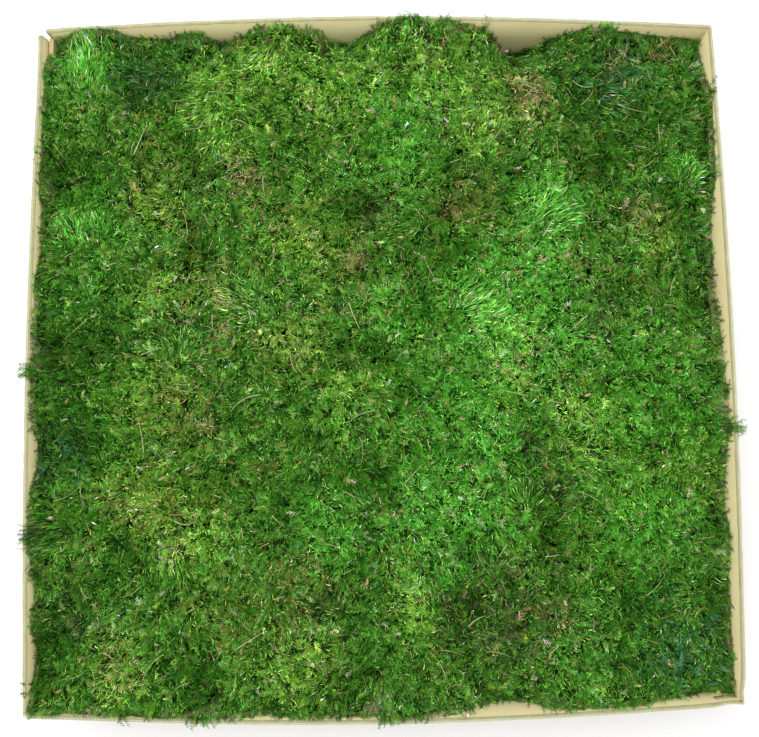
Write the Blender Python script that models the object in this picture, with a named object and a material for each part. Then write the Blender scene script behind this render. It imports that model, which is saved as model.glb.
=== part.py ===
"""Shallow square carton of corrugated board, open at the top, filled with mats of sheet moss.

The carton stands on its closed base. X runs along the front and back walls, +Y points to the back
wall and +Z up. The origin is the middle of the base. Everything is laid out in a straight-sided
carton first, and bulge() then pushes it outwards, as the filling does to the real walls.
"""

import math

import bmesh
import bpy
from mathutils import Vector, noise

# Carton, outside sizes in metres.
WIDTH = 0.700
DEPTH = 0.690
HEIGHT = 0.100
BOARD = 0.0045
GAP = 0.0003

# How far the middle of each free rim stands out, and how the bulge grows from base to rim.
SIDE_BULGE = 0.0065
END_BULGE = 0.0117
BULGE_POWER = 1.3
WALL_STEPS = 20
WALL_ROWS = 3

# Glue tab of the folded blank, on the inside of the back left corner.
TAB_WIDTH = 0.030
TAB_CUT = 0.010

# Moss mats.
MAT_SECTORS = 32
MAT_RINGS = (0.90, 0.68, 0.40)
SEAM = 0.0040
WALL_CLEARANCE = 0.0015
SHOULDER = 0.013
RING_SAG = (0.004, 0.0, 0.0)
LUMP_HEIGHT = 0.005
LUMP_SIZE = 0.045
WANDER = 0.014
WANDER_SIZE = 0.11
MARCH_STEP = 0.002
CENTRE_DROP = 0.003
EDGE_BAND = 0.060

# Each mat's name and middle.
MATS = (
    ("moss_mat_back_left", -0.275, 0.262),
    ("moss_mat_back_pale", -0.130, 0.262),
    ("moss_mat_back_middle", 0.020, 0.262),
    ("moss_mat_back_olive", 0.155, 0.270),
    ("moss_mat_back_right", 0.285, 0.235),
    ("moss_mat_upper_left", -0.270, 0.095),
    ("moss_mat_upper_inner_left", -0.125, 0.112),
    ("moss_mat_centre", 0.000, 0.100),
    ("moss_mat_upper_inner_right", 0.150, 0.105),
    ("moss_mat_upper_right", 0.280, 0.060),
    ("moss_mat_lower_left", -0.270, -0.085),
    ("moss_mat_lower_inner_left", -0.115, -0.060),
    ("moss_mat_lower_inner_right", 0.085, -0.055),
    ("moss_mat_lower_right", 0.245, -0.130),
    ("moss_mat_front_left", -0.270, -0.260),
    ("moss_mat_front_inner_left", -0.095, -0.235),
    ("moss_mat_front_inner_right", 0.095, -0.250),
    ("moss_mat_front_right", 0.265, -0.290),
)

# How far the moss lies below the rim along each wall: place along the wall, drop.
BACK_DROPS = (
    (-0.32, 0.012), (-0.28, 0.004), (-0.18, 0.026), (-0.10, 0.004), (-0.045, 0.036), (0.03, -0.003),
    (0.11, 0.012), (0.145, 0.042), (0.235, 0.003), (0.29, 0.030), (0.34, 0.040),
)
FRONT_DROPS = (
    (-0.33, 0.004), (-0.17, 0.000), (-0.12, 0.014), (-0.08, 0.004), (-0.04, 0.013), (0.02, 0.000),
    (0.12, 0.024), (0.22, 0.006), (0.33, 0.014),
)
LEFT_DROPS = (
    (-0.33, 0.002), (-0.26, 0.020), (-0.17, 0.000), (-0.10, 0.014), (0.00, 0.000), (0.11, 0.010),
    (0.20, 0.010), (0.32, 0.003),
)
RIGHT_DROPS = (
    (-0.32, 0.024), (-0.24, 0.036), (-0.20, 0.018), (-0.13, 0.038), (-0.05, 0.000), (0.02, 0.034),
    (0.13, 0.044), (0.19, 0.010), (0.27, 0.008), (0.33, 0.036),
)


def clear_scene():
    for obj in list(bpy.data.objects):
        bpy.data.objects.remove(obj, do_unlink=True)


def principled(name, colour, roughness):
    """Returns a plain material with this colour and roughness."""
    material = bpy.data.materials.new(name)
    material.use_nodes = True
    shader = material.node_tree.nodes["Principled BSDF"]
    shader.inputs["Base Color"].default_value = (*colour, 1.0)
    shader.inputs["Roughness"].default_value = roughness
    shader.inputs["Metallic"].default_value = 0.0
    return material


def add_object(name, bm, material, smooth):
    """Turns a bmesh into a named object that faces outwards."""
    bmesh.ops.recalc_face_normals(bm, faces=bm.faces)
    if bm.calc_volume(signed=True) < 0:
        bmesh.ops.reverse_faces(bm, faces=bm.faces)
    mesh = bpy.data.meshes.new(name)
    bm.to_mesh(mesh)
    bm.free()
    mesh.materials.append(material)
    if smooth:
        mesh.shade_smooth()
        mesh.set_sharp_from_angle(angle=math.radians(40))
    obj = bpy.data.objects.new(name, mesh)
    bpy.context.scene.collection.objects.link(obj)
    return obj


def bulge(point):
    """Moves a point of the straight carton to where the bulging carton has it."""
    x, y, z = point
    rise = max(z / HEIGHT, 0.0) ** BULGE_POWER
    out_x = SIDE_BULGE * math.cos(math.pi * y / DEPTH) * 2 * x / WIDTH
    out_y = END_BULGE * math.cos(math.pi * x / WIDTH) * 2 * y / DEPTH
    return Vector((x + rise * out_x, y + rise * out_y, z))


def bulge_all(bm):
    for vertex in bm.verts:
        vertex.co = bulge(vertex.co)


# ---------------------------------------------------------------- carton


def box_between(low, high):
    """A closed box as a bmesh."""
    bm = bmesh.new()
    bmesh.ops.create_cube(bm, size=1.0)
    for vertex in bm.verts:
        vertex.co = Vector(b if c > 0 else a for a, b, c in zip(low, high, vertex.co))
    return bm


def slice_along(bm, axis, places):
    """Cuts the mesh by a plane across the axis at each place."""
    normal = Vector((0, 0, 0))
    normal[axis] = 1.0
    for place in places:
        geometry = bm.verts[:] + bm.edges[:] + bm.faces[:]
        bmesh.ops.bisect_plane(bm, geom=geometry, plane_co=normal * place, plane_no=normal)


def wall(name, along_x, sign, material):
    """A wall panel, mitred at both corners and sliced so that it can follow the bulge."""
    length, outer = (WIDTH, DEPTH / 2) if along_x else (DEPTH, WIDTH / 2)
    half = length / 2
    bm = box_between((-half, outer - BOARD, 0.0), (half, outer, HEIGHT))
    slice_along(bm, 0, [half * (2 * i / WALL_STEPS - 1) for i in range(1, WALL_STEPS)])
    slice_along(bm, 2, [HEIGHT * i / WALL_ROWS for i in range(1, WALL_ROWS)])
    for vertex in bm.verts:
        along, out, up = vertex.co
        if abs(along) > half - 1e-5:
            along = math.copysign(half - (outer - out) - GAP, along)
        vertex.co = (along, out * sign, up) if along_x else (out * sign, along, up)
    bulge_all(bm)
    return add_object(name, bm, material, smooth=False)


def glue_tab(material):
    """The tab that joins the blank, flat against the inside of the left wall at the back."""
    inner_x = -WIDTH / 2 + BOARD + GAP
    inner_y = DEPTH / 2 - BOARD - GAP
    bottom = 2 * (BOARD + GAP)
    low = (inner_x, inner_y - TAB_WIDTH, bottom)
    bm = box_between(low, (inner_x + BOARD, inner_y, HEIGHT - TAB_CUT))
    slice_along(bm, 1, [inner_y - TAB_WIDTH / 2])
    slice_along(bm, 2, [HEIGHT / 2])
    for vertex in bm.verts:
        if vertex.co.y < inner_y - TAB_WIDTH + 1e-5:
            vertex.co.z += TAB_CUT if vertex.co.z < HEIGHT / 2 - 1e-5 else 0.0
            vertex.co.z -= TAB_CUT if vertex.co.z > HEIGHT / 2 + TAB_CUT else 0.0
    bulge_all(bm)
    return add_object("glue_tab", bm, material, smooth=False)


def bottom_flaps(material):
    """Two outer flaps that the carton stands on, and the two inner flaps that lie across them."""
    half_x = WIDTH / 2 - BOARD - GAP
    half_y = DEPTH / 2 - BOARD - GAP
    level = BOARD + GAP
    flaps = (
        ("bottom_flap_front", (-half_x, -half_y, 0.0), (half_x, -GAP / 2, BOARD)),
        ("bottom_flap_back", (-half_x, GAP / 2, 0.0), (half_x, half_y, BOARD)),
        ("bottom_flap_left", (-half_x, -half_y, level), (-GAP / 2, half_y, level + BOARD)),
        ("bottom_flap_right", (GAP / 2, -half_y, level), (half_x, half_y, level + BOARD)),
    )
    for name, low, high in flaps:
        add_object(name, box_between(low, high), material, smooth=False)


# ---------------------------------------------------------------- moss


def smoothstep(value):
    value = min(max(value, 0.0), 1.0)
    return value * value * (3 - 2 * value)


def drop_along(points, place):
    """The drop at a place along a wall, on straight lines between the given points."""
    if place <= points[0][0]:
        return points[0][1]
    for (start, first), (end, second) in zip(points, points[1:]):
        if place <= end:
            return first + (second - first) * (place - start) / (end - start)
    return points[-1][1]


def moss_level(x, y):
    """Height of the moss: nearly level with the rim inside, and lower along the walls."""
    near = (
        (DEPTH / 2 - BOARD - y, drop_along(BACK_DROPS, x)),
        (DEPTH / 2 - BOARD + y, drop_along(FRONT_DROPS, x)),
        (WIDTH / 2 - BOARD + x, drop_along(LEFT_DROPS, y)),
        (WIDTH / 2 - BOARD - x, drop_along(RIGHT_DROPS, y)),
    )
    weights = [1 - smoothstep(distance / EDGE_BAND) for distance, _ in near]
    strongest = max(weights)
    drop = CENTRE_DROP * (1 - strongest)
    if strongest > 0:
        total = sum(weight * side[1] for weight, side in zip(weights, near))
        drop += strongest * total / sum(weights)
    lump = noise.noise(Vector((x, y, 0.0)) / LUMP_SIZE)
    return HEIGHT - drop + LUMP_HEIGHT * lump


def wander(x, y):
    """The place from which nearness is judged, so that the seams between mats meander."""
    spot = Vector((x, y, 0.0)) / WANDER_SIZE
    return (
        x + WANDER * noise.noise(spot + Vector((3.7, 0.0, 0.0))),
        y + WANDER * noise.noise(spot + Vector((0.0, 9.1, 0.0))),
    )


def belongs(x, y, middle):
    """True where this mat's middle is the nearest one and the place is inside the walls."""
    half_x = WIDTH / 2 - BOARD - WALL_CLEARANCE
    half_y = DEPTH / 2 - BOARD - WALL_CLEARANCE
    in_tab = x < -half_x + BOARD + GAP and y > half_y - TAB_WIDTH - WALL_CLEARANCE
    if abs(x) > half_x or abs(y) > half_y or in_tab:
        return False
    at_x, at_y = wander(x, y)
    own = math.hypot(at_x - middle[0], at_y - middle[1])
    return all(own <= math.hypot(at_x - mx, at_y - my) for _, mx, my in MATS)


def mat_outline(middle):
    """Distance from the middle to the mat's edge, for each sector."""
    reach = []
    for sector in range(MAT_SECTORS):
        angle = math.tau * sector / MAT_SECTORS
        step_x, step_y = math.cos(angle), math.sin(angle)
        radius = MARCH_STEP
        while belongs(middle[0] + radius * step_x, middle[1] + radius * step_y, middle):
            radius += MARCH_STEP
        reach.append((radius - MARCH_STEP - SEAM / 2, step_x, step_y))
    return reach


def moss_mat(name, middle, material):
    """One mat: a flat underside, upright sides, rounded shoulders and a gently lumpy top."""
    reach = mat_outline(middle)
    bottom = 2 * (BOARD + GAP)
    bm = bmesh.new()

    def ring(share, height_at):
        corners = []
        for radius, step_x, step_y in reach:
            x = middle[0] + share * radius * step_x
            y = middle[1] + share * radius * step_y
            corners.append(bm.verts.new(bulge((x, y, height_at(x, y)))))
        return corners

    rings = [ring(1.0, lambda x, y: bottom)]
    rings.append(ring(1.0, lambda x, y: moss_level(x, y) - SHOULDER))
    for share, sag in zip(MAT_RINGS, RING_SAG):
        rings.append(ring(share, lambda x, y, sag=sag: moss_level(x, y) - sag))
    crown = bm.verts.new(bulge((*middle, moss_level(*middle))))
    bm.faces.new(reversed(rings[0]))
    for lower, upper in zip(rings, rings[1:]):
        for i in range(MAT_SECTORS):
            j = (i + 1) % MAT_SECTORS
            bm.faces.new((lower[i], lower[j], upper[j], upper[i]))
    for i in range(MAT_SECTORS):
        bm.faces.new((rings[-1][i], rings[-1][(i + 1) % MAT_SECTORS], crown))
    return add_object(name, bm, material, smooth=True)


def main():
    clear_scene()
    kraft = principled("kraft_board", (0.61, 0.51, 0.24), 0.8)
    inner_kraft = principled("inner_kraft_board", (0.50, 0.41, 0.19), 0.85)
    moss = principled("moss", (0.09, 0.21, 0.02), 0.85)
    wall("back_wall", True, 1, kraft)
    wall("front_wall", True, -1, kraft)
    wall("left_wall", False, -1, kraft)
    wall("right_wall", False, 1, kraft)
    glue_tab(inner_kraft)
    bottom_flaps(inner_kraft)
    for name, x, y in MATS:
        moss_mat(name, (x, y), moss)


main()
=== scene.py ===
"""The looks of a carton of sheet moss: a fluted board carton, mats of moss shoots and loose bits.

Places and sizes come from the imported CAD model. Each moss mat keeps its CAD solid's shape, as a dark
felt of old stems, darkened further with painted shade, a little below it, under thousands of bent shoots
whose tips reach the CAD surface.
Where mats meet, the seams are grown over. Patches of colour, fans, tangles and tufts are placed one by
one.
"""

import math
from types import SimpleNamespace

import bpy
import numpy as np
from mathutils import Euler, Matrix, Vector
from mathutils.bvhtree import BVHTree


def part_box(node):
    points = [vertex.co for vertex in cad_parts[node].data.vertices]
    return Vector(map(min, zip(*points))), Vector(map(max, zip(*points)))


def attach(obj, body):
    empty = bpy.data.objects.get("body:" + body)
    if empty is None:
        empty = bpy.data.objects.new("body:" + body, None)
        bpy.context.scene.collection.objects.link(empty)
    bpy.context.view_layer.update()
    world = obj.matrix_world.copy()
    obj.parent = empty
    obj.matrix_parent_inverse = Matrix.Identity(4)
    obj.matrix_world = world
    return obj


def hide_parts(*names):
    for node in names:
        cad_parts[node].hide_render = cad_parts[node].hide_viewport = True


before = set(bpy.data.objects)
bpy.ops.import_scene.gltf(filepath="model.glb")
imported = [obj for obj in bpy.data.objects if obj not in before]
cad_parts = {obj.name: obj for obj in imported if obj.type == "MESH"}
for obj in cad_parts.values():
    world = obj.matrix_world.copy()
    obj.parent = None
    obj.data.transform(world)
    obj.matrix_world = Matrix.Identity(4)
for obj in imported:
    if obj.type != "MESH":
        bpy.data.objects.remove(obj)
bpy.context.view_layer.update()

MM = 0.001
BAKE_MAP = "OFBake"
COLOUR_LAYER = "growth"

# --- view

IMAGE_WIDTH = 759
FOCAL_PIXELS = 653
SENSOR = 36.0
CAMERA_ABOVE_RIM = 0.6533
CAMERA_XY = (-0.0106, -0.0589)
CAMERA_TURN = (4.115, -0.614, -0.723)
FLOOR_REACH = 6.0
FLOOR_BELOW = 0.2 * MM
FLOOR_GLOW = 0.12
SKY_STRENGTH = 0.86
SOFTBOX = SimpleNamespace(place=(-0.7, 0.9, 2.2), size=1.2, watts=26)
WHITE = (1, 1, 1, 1)
FLOOR_GREY = (0.90, 0.90, 0.90, 1)

# --- carton

BULGE_POWER = 1.3
FOLD_RADIUS = 4.0 * MM
TAB_FOLD_RADIUS = 2.5 * MM
OPEN_CORNER = 3.0 * MM
TEAR_DEPTH = 14 * MM
TEAR_REACH = 40 * MM
SPLIT_FOLD = 0.6 * MM
LINER = 0.35 * MM
MEDIUM = 0.30 * MM
# A flute's fill: how far below the rim the block in its hollows stops. The small flute's block has a dark
# top, painted shade in its hollows.
SMALL_FLUTE = SimpleNamespace(pitch=3.3 * MM, height=1.30 * MM, corners=4, fill=1.6 * MM)
LARGE_FLUTE = SimpleNamespace(pitch=6.5 * MM, height=2.20 * MM, corners=6, fill=0.4 * MM)
FLUTE_DEPTH = 12 * MM
LINER_STEPS = 100
FOLD_STEPS = 4
LINER_ROWS = 4
RIM_RAGGED = 0.22 * MM
# Crushed folds, just below the rim: the wall, the place, how far each reaches and how it is pushed.
DENTS = (
    ("back_wall", (-0.337, 0.337, 0.086), 12 * MM, (3.15 * MM, -3.15 * MM, 0.0)),
    ("right_wall", (0.353, -0.336, 0.091), 11 * MM, (-4.5 * MM, 1.0 * MM, 0.0)),
    ("front_wall", (0.336, -0.350, 0.091), 11 * MM, (-1.0 * MM, 4.5 * MM, 0.0)),
)
DENT_CREASES = 900
DENT_CREASE_DEPTH = 0.3
FLARE = 2.5 * MM
FLARE_REACH = 30 * MM
FLUTE_SQUARENESS = 1.25
# The sides of a sheet, for picking its materials.
OUT_SIDE, IN_SIDE, CUT_SIDE = range(3)
# Board: name, colour of the liner, colour of its stains, and how strongly the flutes print through.
BOARD_LOOKS = (
    ("kraft_board", (0.78, 0.69, 0.37, 1), (0.71, 0.62, 0.32, 1), 0.5),
    ("outer_kraft_board", (0.46, 0.38, 0.21, 1), (0.38, 0.30, 0.16, 1), 0.8),
    ("inner_kraft_board", (0.62, 0.50, 0.24, 1), (0.54, 0.43, 0.19, 1), 0.5),
)
# Cut edges: name, light colour and dull colour. The darkest is painted shade in the small flute's hollows
# and, partly, on the inner liner's top edge.
EDGE_LOOKS = (
    ("cut_edge_pale", (0.80, 0.84, 0.68, 1), (0.70, 0.73, 0.54, 1)),
    ("cut_edge_with_painted_shade", (0.15, 0.15, 0.075, 1), (0.11, 0.11, 0.055, 1)),
    ("cut_edge_tan", (0.52, 0.52, 0.28, 1), (0.40, 0.40, 0.20, 1)),
)
BOARD_FIBRE = (0.46, 0.34, 0.14, 1)
BOARD_RIDGE = (0.90, 0.82, 0.50, 1)
EDGE_FUZZ = (0.40, 0.39, 0.25, 1)

# --- moss

# The felt: its mesh size, how far below the tips it lies, how lumpy it is, how far its sides are drawn
# in, and the height over its base where that sets in.
FELT_VOXEL = 8.5 * MM
FELT_DEPTH = 7.0 * MM
FELT_LUMPS = 2.0 * MM
FELT_SINK = 1.2 * MM
FELT_BASE = 20 * MM
# The height grid: its step, and half the width, in steps, of the seams that are closed.
SURFACE_STEP = 4 * MM
SEAM_REACH = 4
# How far the borders between mats wander, and how much of the walls' bulge the moss grows into.
SEAM_WARP = 6 * MM
BULGE_FILLED = 0.8
DOWN = Vector((0, 0, -1))
# The moss is raised beside the walls, by these amounts at these distances.
SHOULDER_REACHES = (2 * MM, 9 * MM, 24 * MM)
SHOULDER_LIFTS = (13 * MM, 4.5 * MM, 0.0)
# Deep dips beside a wall get less of that lift, between these depths below the rim.
DIP_DEPTHS = (40 * MM, 16 * MM)
DIP_SHARES = (0.0, 1.0)
# Seams beside the walls are closed less, and this band is where that changes.
WALL_SEAM_REACH = 3
WALL_BAND = (8 * MM, 38 * MM)
# The grid's outermost cells lie in the walls and take the heights of the cells inside them.
WALL_CELLS = 2
# How far over the rim shoots may stand, and how near the felt has to be to be pressed to a wall.
TOP_ROOM = 12.5 * MM
WALL_PRESS = 18 * MM
# The corner that has come open: its place, how far the dip reaches and how deep it is.
CORNER_DIP_PLACE = (-0.343, 0.338)
CORNER_DIP_REACH = 19 * MM
CORNER_DIP = 20 * MM
# Small lumps all over, and how far the dark patches sink.
RELIEF_HEIGHT = 2.6 * MM
HOLLOW_DEPTH = 4.5 * MM
LEAVES_PER_M2 = 375_000
FRONDS_PER_M2 = 53_000
# Where the pairs of leaflets sit along a frond.
LEAFLETS = (0.10, 0.23, 0.36, 0.49, 0.62, 0.75, 0.88)
# Shoots, in mm: the mean and spread of a length or half width, the length's limits, the roots' depth.
LEAF = SimpleNamespace(length=(5.0, 1.4), limits=(2.2, 10), depth=(1.0, 4.5), half_width=(0.36, 0.07))
FROND = SimpleNamespace(length=(10.5, 2.5), limits=(5, 17), depth=(2.5, 6.0))
FROND_ARCH = 0.12
# Tips lie this far from the moss surface, in mm: mean and spread.
TIP_OFF = (-0.9, 1.1)
# One leaf: its triangles, its cell on the bake map and the shade of each of its points: painted shade at
# the root, painted light at the tip.
LEAF_TRIANGLES = np.array([[0, 2, 1], [1, 2, 3]])
LEAF_CELL = np.array([[0.5, 0], [0, 0.55], [1, 0.55], [0.5, 1]])
LEAF_SHADES = np.array([0.22, 0.90, 0.90, 1.55])
# How strongly light and shade change red, green and blue.
SHADE_POWERS = (1.4, 1.0, 1.9)
# The felt's share of the bake map, and the gap that the moss keeps to the walls.
FELT_MAP_TOP = 0.13
WALL_ROOM = 0.9 * MM
MOSS_SEED = 41

# Linear colours of moss tips.
GREENS = {
    "leaf": (0.100, 0.338, 0.023),
    "deep": (0.042, 0.205, 0.016),
    "bright": (0.103, 0.480, 0.029),
    "lime": (0.238, 0.575, 0.045),
    "olive": (0.212, 0.320, 0.040),
    "rust": (0.300, 0.280, 0.078),
    "brown": (0.098, 0.125, 0.040),
    "bluish": (0.068, 0.250, 0.078),
    # Pale tips, partly painted highlights.
    "pale": (0.300, 0.540, 0.140),
    "straw": (0.560, 0.550, 0.270),
}

# Greener and browner felt, in its hollows and on its fibres. All of it is darkened as painted shade
# between the shoots, the hollows most.
FELT_DARK = ((0.004, 0.022, 0.002, 1), (0.010, 0.024, 0.004, 1))
FELT_LIGHT = ((0.018, 0.080, 0.006, 1), (0.038, 0.072, 0.012, 1))

# The way each mat's shoots grow, in degrees.
MAT_GROWTH = {
    "moss_mat_back_left": 70, "moss_mat_back_pale": 250, "moss_mat_back_middle": 60,
    "moss_mat_back_olive": 20, "moss_mat_back_right": 300, "moss_mat_upper_left": 200,
    "moss_mat_upper_inner_left": 290, "moss_mat_centre": 240, "moss_mat_upper_inner_right": 330,
    "moss_mat_upper_right": 10, "moss_mat_lower_left": 160, "moss_mat_lower_inner_left": 250,
    "moss_mat_lower_inner_right": 280, "moss_mat_lower_right": 320, "moss_mat_front_left": 220,
    "moss_mat_front_inner_left": 260, "moss_mat_front_inner_right": 300, "moss_mat_front_right": 340,
}

# Soft patches of one growth, listed: x, y and radius in centimetres.
PATCHES = {
    "bright": (
        (-31.5, 31.0, 3.6), (2.5, 24.0, 4.5), (17.0, 16.0, 4.0), (15.5, 8.5, 6.0), (10.5, 4.0, 8.0),
        (19.0, 1.5, 4.5), (8.0, -6.0, 8.0), (7.0, -15.0, 7.0), (28.0, -4.0, 6.5), (26.0, -17.0, 5.5),
        (1.5, 4.5, 3.6), (-30.5, 13.5, 3.4), (-6.0, -17.0, 3.5), (31.5, 19.5, 2.4),
    ),
    "lime": (
        (-15.5, 28.0, 5.0), (-15.5, 23.5, 3.4), (-5.0, 30.0, 6.0), (-11.0, 33.0, 3.0),
        (7.5, 29.5, 4.5), (11.0, 24.5, 3.8), (13.0, 1.5, 3.2), (12.0, -3.0, 2.6), (21.0, -6.5, 4.5),
        (24.5, -13.0, 3.0), (31.0, -12.0, 4.5), (-23.0, -13.0, 4.4), (-19.0, -18.0, 3.2),
        (-24.0, -4.5, 4.0), (-3.5, -3.5, 2.8), (-22.0, 7.0, 3.0), (-10.0, -30.5, 3.6),
        (-26.0, -31.0, 2.6), (3.0, -25.0, 3.4), (2.5, -20.0, 2.6), (-22.5, 15.5, 2.2),
        (-9.0, 11.5, 4.2), (-9.3, 1.8, 3.4), (28.5, 13.0, 2.8),
    ),
    "olive": (
        (-23.5, -13.5, 4.0), (-15.5, -26.0, 4.5), (-8.0, -24.5, 4.5), (28.5, 32.5, 2.6),
        (-23.5, 18.0, 4.0), (-19.0, 9.0, 4.0), (-4.0, 11.0, 3.8), (-9.0, 13.5, 3.0), (-9.3, 1.5, 3.0),
        (15.5, 26.5, 4.6), (27.0, 14.5, 3.0), (-20.5, -5.5, 4.5), (9.5, 17.0, 3.0),
        (-26.0, -29.0, 3.2),
    ),
    "bluish": (
        (24.5, 29.0, 4.0), (29.5, -29.5, 4.6), (-24.5, 29.0, 3.6), (-32.0, -9.0, 3.0),
    ),
    "rust": (
        (-14.3, 19.0, 2.4), (-3.2, 10.5, 1.6), (16.0, 27.0, 2.6), (27.5, 15.0, 1.6),
        (-18.0, -6.5, 1.4), (8.5, 16.0, 1.8), (17.0, -26.0, 2.2),
    ),
    "brown": (
        (-1.5, 15.5, 2.4), (11.0, -26.0, 6.0), (-31.0, -25.0, 2.6), (14.5, -9.0, 1.8),
        (16.5, -14.0, 2.6), (-7.0, -24.5, 2.4), (-18.5, 19.0, 2.0), (23.0, 4.5, 1.8),
    ),
    # Not a growth: hollows, sunk and made darker with painted shade.
    "dark": (
        (-24.5, 29.5, 3.4), (-32.0, 18.5, 2.4), (-33.5, 10.5, 2.0), (-31.5, 0.5, 4.6),
        (-31.0, -6.5, 3.2), (-33.0, -17.0, 2.4), (-33.5, -29.5, 3.4), (-18.5, -32.0, 2.4),
        (-18.0, 11.5, 2.2), (-19.0, 22.0, 2.0), (-1.0, 0.5, 2.6), (1.5, -4.5, 1.4), (3.5, 5.5, 1.7),
        (7.0, 11.0, 1.9), (10.5, 16.0, 1.9), (13.5, 19.5, 1.9), (-2.5, 15.5, 1.8), (2.0, 10.0, 2.0),
        (22.0, 26.5, 3.6), (22.5, 21.5, 3.0), (30.0, 15.5, 2.8), (27.5, 25.5, 2.6), (22.0, -3.5, 1.4),
        (-1.0, -12.5, 2.6), (26.5, -24.0, 3.8), (24.0, -30.5, 2.2), (16.0, -18.5, 2.0),
        (8.5, -24.5, 2.4), (-3.5, -31.5, 2.2), (-26.5, -20.0, 2.0),
    ),
}
# Fans of long shoots: x, y and radius in centimetres, and the way they point in degrees.
FANS = (
    (-31.0, 30.5, 2.8, 80), (-18.0, 26.0, 2.4, 225), (-17.0, 23.0, 1.8, 240), (-12.0, 32.0, 2.0, 240),
    (-30.5, 13.3, 2.4, 95), (-34.0, 10.5, 2.0, 185), (-14.5, 6.0, 2.2, 150), (-20.0, 1.0, 1.8, 60),
    (18.0, 15.0, 2.6, 40), (32.0, 19.0, 1.6, 60), (2.5, 13.0, 2.0, 200), (10.0, 5.5, 2.4, 30),
    (31.0, -24.0, 2.2, 170), (-33.5, -17.0, 2.2, 190), (-3.0, -13.0, 1.8, 300),
    (14.0, -14.5, 2.0, 110), (-21.0, -21.0, 2.0, 280), (24.0, 27.0, 2.0, 320),
)
FAN_STRETCH = 1.1

# How many of a patch's shoots take its colour, how much lighter it is, and how its border frays.
PATCH_STRENGTH = {"lime": 0.60, "bright": 0.70, "olive": 0.42, "rust": 0.45, "brown": 0.45, "bluish": 0.6}
PATCH_LIGHT = {"lime": 0.10, "bright": 0.12, "olive": 0.04, "rust": 0.1, "brown": -0.18, "bluish": -0.1}
# Painted shade: how much darker the dark patches, which lie in hollows, are made.
DARK_LIGHT = -0.42
PATCH_WARP = 12 * MM
PATCH_FRAY = 5 * MM
PATCH_FALL = 1.1
# Within this reach of the carton's inner half width the moss is browner, and darker with painted shade
# from the walls.
INNER_HALF = 0.350
WALL_SHADE_REACH = 11 * MM
WALL_BROWN = 0.30
WALL_LIGHT = -0.24

# --- debris

DEBRIS_SEED = 7
# How stalks lie: how high over the moss and how far one end dips in, in mm, and how much they bend.
LIE = dict(lift=(-0.6, 1.2), dip=(0.0, 4.0), bend=0.07)
LONG_STALKS = SimpleNamespace(count=80, length=(16, 36), radius=(0.34, 0.56), steps=8, sides=5, **LIE)
SHORT_STALKS = SimpleNamespace(count=520, length=(5, 15), radius=(0.26, 0.46), steps=5, sides=4, **LIE)
TWIGS = SimpleNamespace(count=90, length=(8, 26), steps=6, lift=(-1.0, 1.2), dip=(0, 3), bend=0.12)
TWIG_RADII = (0.5, 0.25)
ROOTS = SimpleNamespace(length=(8, 20), steps=8, wild=0.55, radii=(0.42, 0.22))
WALL_MARGIN = 12 * MM
LEAF_SCRAPS = 85
SCRAP_LENGTH = (3.5, 8.5)
SCRAP_ROWS = 5
SCRAP_COLUMNS = 4
# The fringe: tufts on each wall, shoots in a tuft and how far they spread, in mm.
FRINGE = 26
FRINGE_SHOOTS = 3
FRINGE_SPREAD = 8
WALL_SHOOTS = SimpleNamespace(
    count=240,
    spread=0.342,
    inside=(1.5, 9),
    sunk=2 * MM,
    reach=(0.2, 1.0),
    sway=4.5 * MM,
    rise=(3.0, 9.5),
    arch=0.15,
)
FRINGE_ROOT = 6 * MM
# There is no fringe where the moss lies this far below the rim.
FRINGE_BELOW = 9 * MM
# How far below the rim the root of a tuft's shoot may be, and how much the shoot arches.
TUFT_ROOT_BELOW = 16 * MM
TUFT_RISE = 0.2
# Linear colours, one of which each piece takes.
STALK_TONES = ((0.50, 0.52, 0.24), (0.40, 0.42, 0.16), (0.31, 0.36, 0.11), (0.60, 0.62, 0.33))
SCRAP_TONES = ((0.44, 0.38, 0.18), (0.32, 0.28, 0.11), (0.50, 0.47, 0.26))
TWIG_TONE = (0.055, 0.050, 0.022)
ROOT_TONES = ((0.45, 0.39, 0.17), (0.33, 0.29, 0.10), (0.56, 0.50, 0.25))

# Root tangles: x, y, radius and how many roots.
TANGLES = (
    (0.305, 0.326, 0.016, 34),
    (0.252, 0.312, 0.014, 22),
    (0.133, 0.330, 0.010, 12),
    (0.165, 0.272, 0.014, 14),
    (-0.145, 0.192, 0.013, 14),
    (-0.032, 0.105, 0.010, 8),
    (0.275, 0.150, 0.013, 12),
    (0.120, -0.215, 0.014, 12),
    (-0.265, -0.295, 0.013, 10),
)

# The way out over each wall.
WALLS = {"left": (-1, 0), "right": (1, 0), "back": (0, 1), "front": (0, -1)}

# Tufts over the rim: wall, place along it, how far over in mm, how many shoots, spread in mm.
TUFTS_OVER_RIM = (
    ("left", -0.012, 10, 14, 12),
    ("left", -0.170, 8, 12, 13),
    ("left", -0.320, 5, 8, 8),
    ("left", 0.215, 4, 6, 10),
    ("right", -0.077, 10, 16, 12),
    ("right", 0.275, 4, 8, 12),
    ("front", -0.180, 8, 14, 18),
    ("front", 0.000, 6, 8, 8),
    ("front", -0.255, 7, 3, 3),
    ("back", 0.035, 6, 16, 20),
    ("back", 0.070, 5, 6, 6),
    ("back", 0.112, 6, 5, 4),
    ("back", 0.240, 3, 8, 10),
)


def frame_sizes():
    """The carton's straight-sided sizes and its bulge, read from the CAD boxes."""
    flap_low, flap_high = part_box("bottom_flap_front")
    board = flap_high.z - flap_low.z
    tab_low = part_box("glue_tab")[0]
    wall_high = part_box("back_wall")[1]
    gap = 0.3 * MM
    half_x = flap_high.x + board + gap
    half_y = -flap_low.y + board + gap
    return SimpleNamespace(
        board=board,
        gap=gap,
        half_x=half_x,
        half_y=half_y,
        height=wall_high.z,
        side_bulge=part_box("right_wall")[1].x - half_x,
        end_bulge=wall_high.y - half_y,
        tab_y=tab_low.y,
    )


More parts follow.
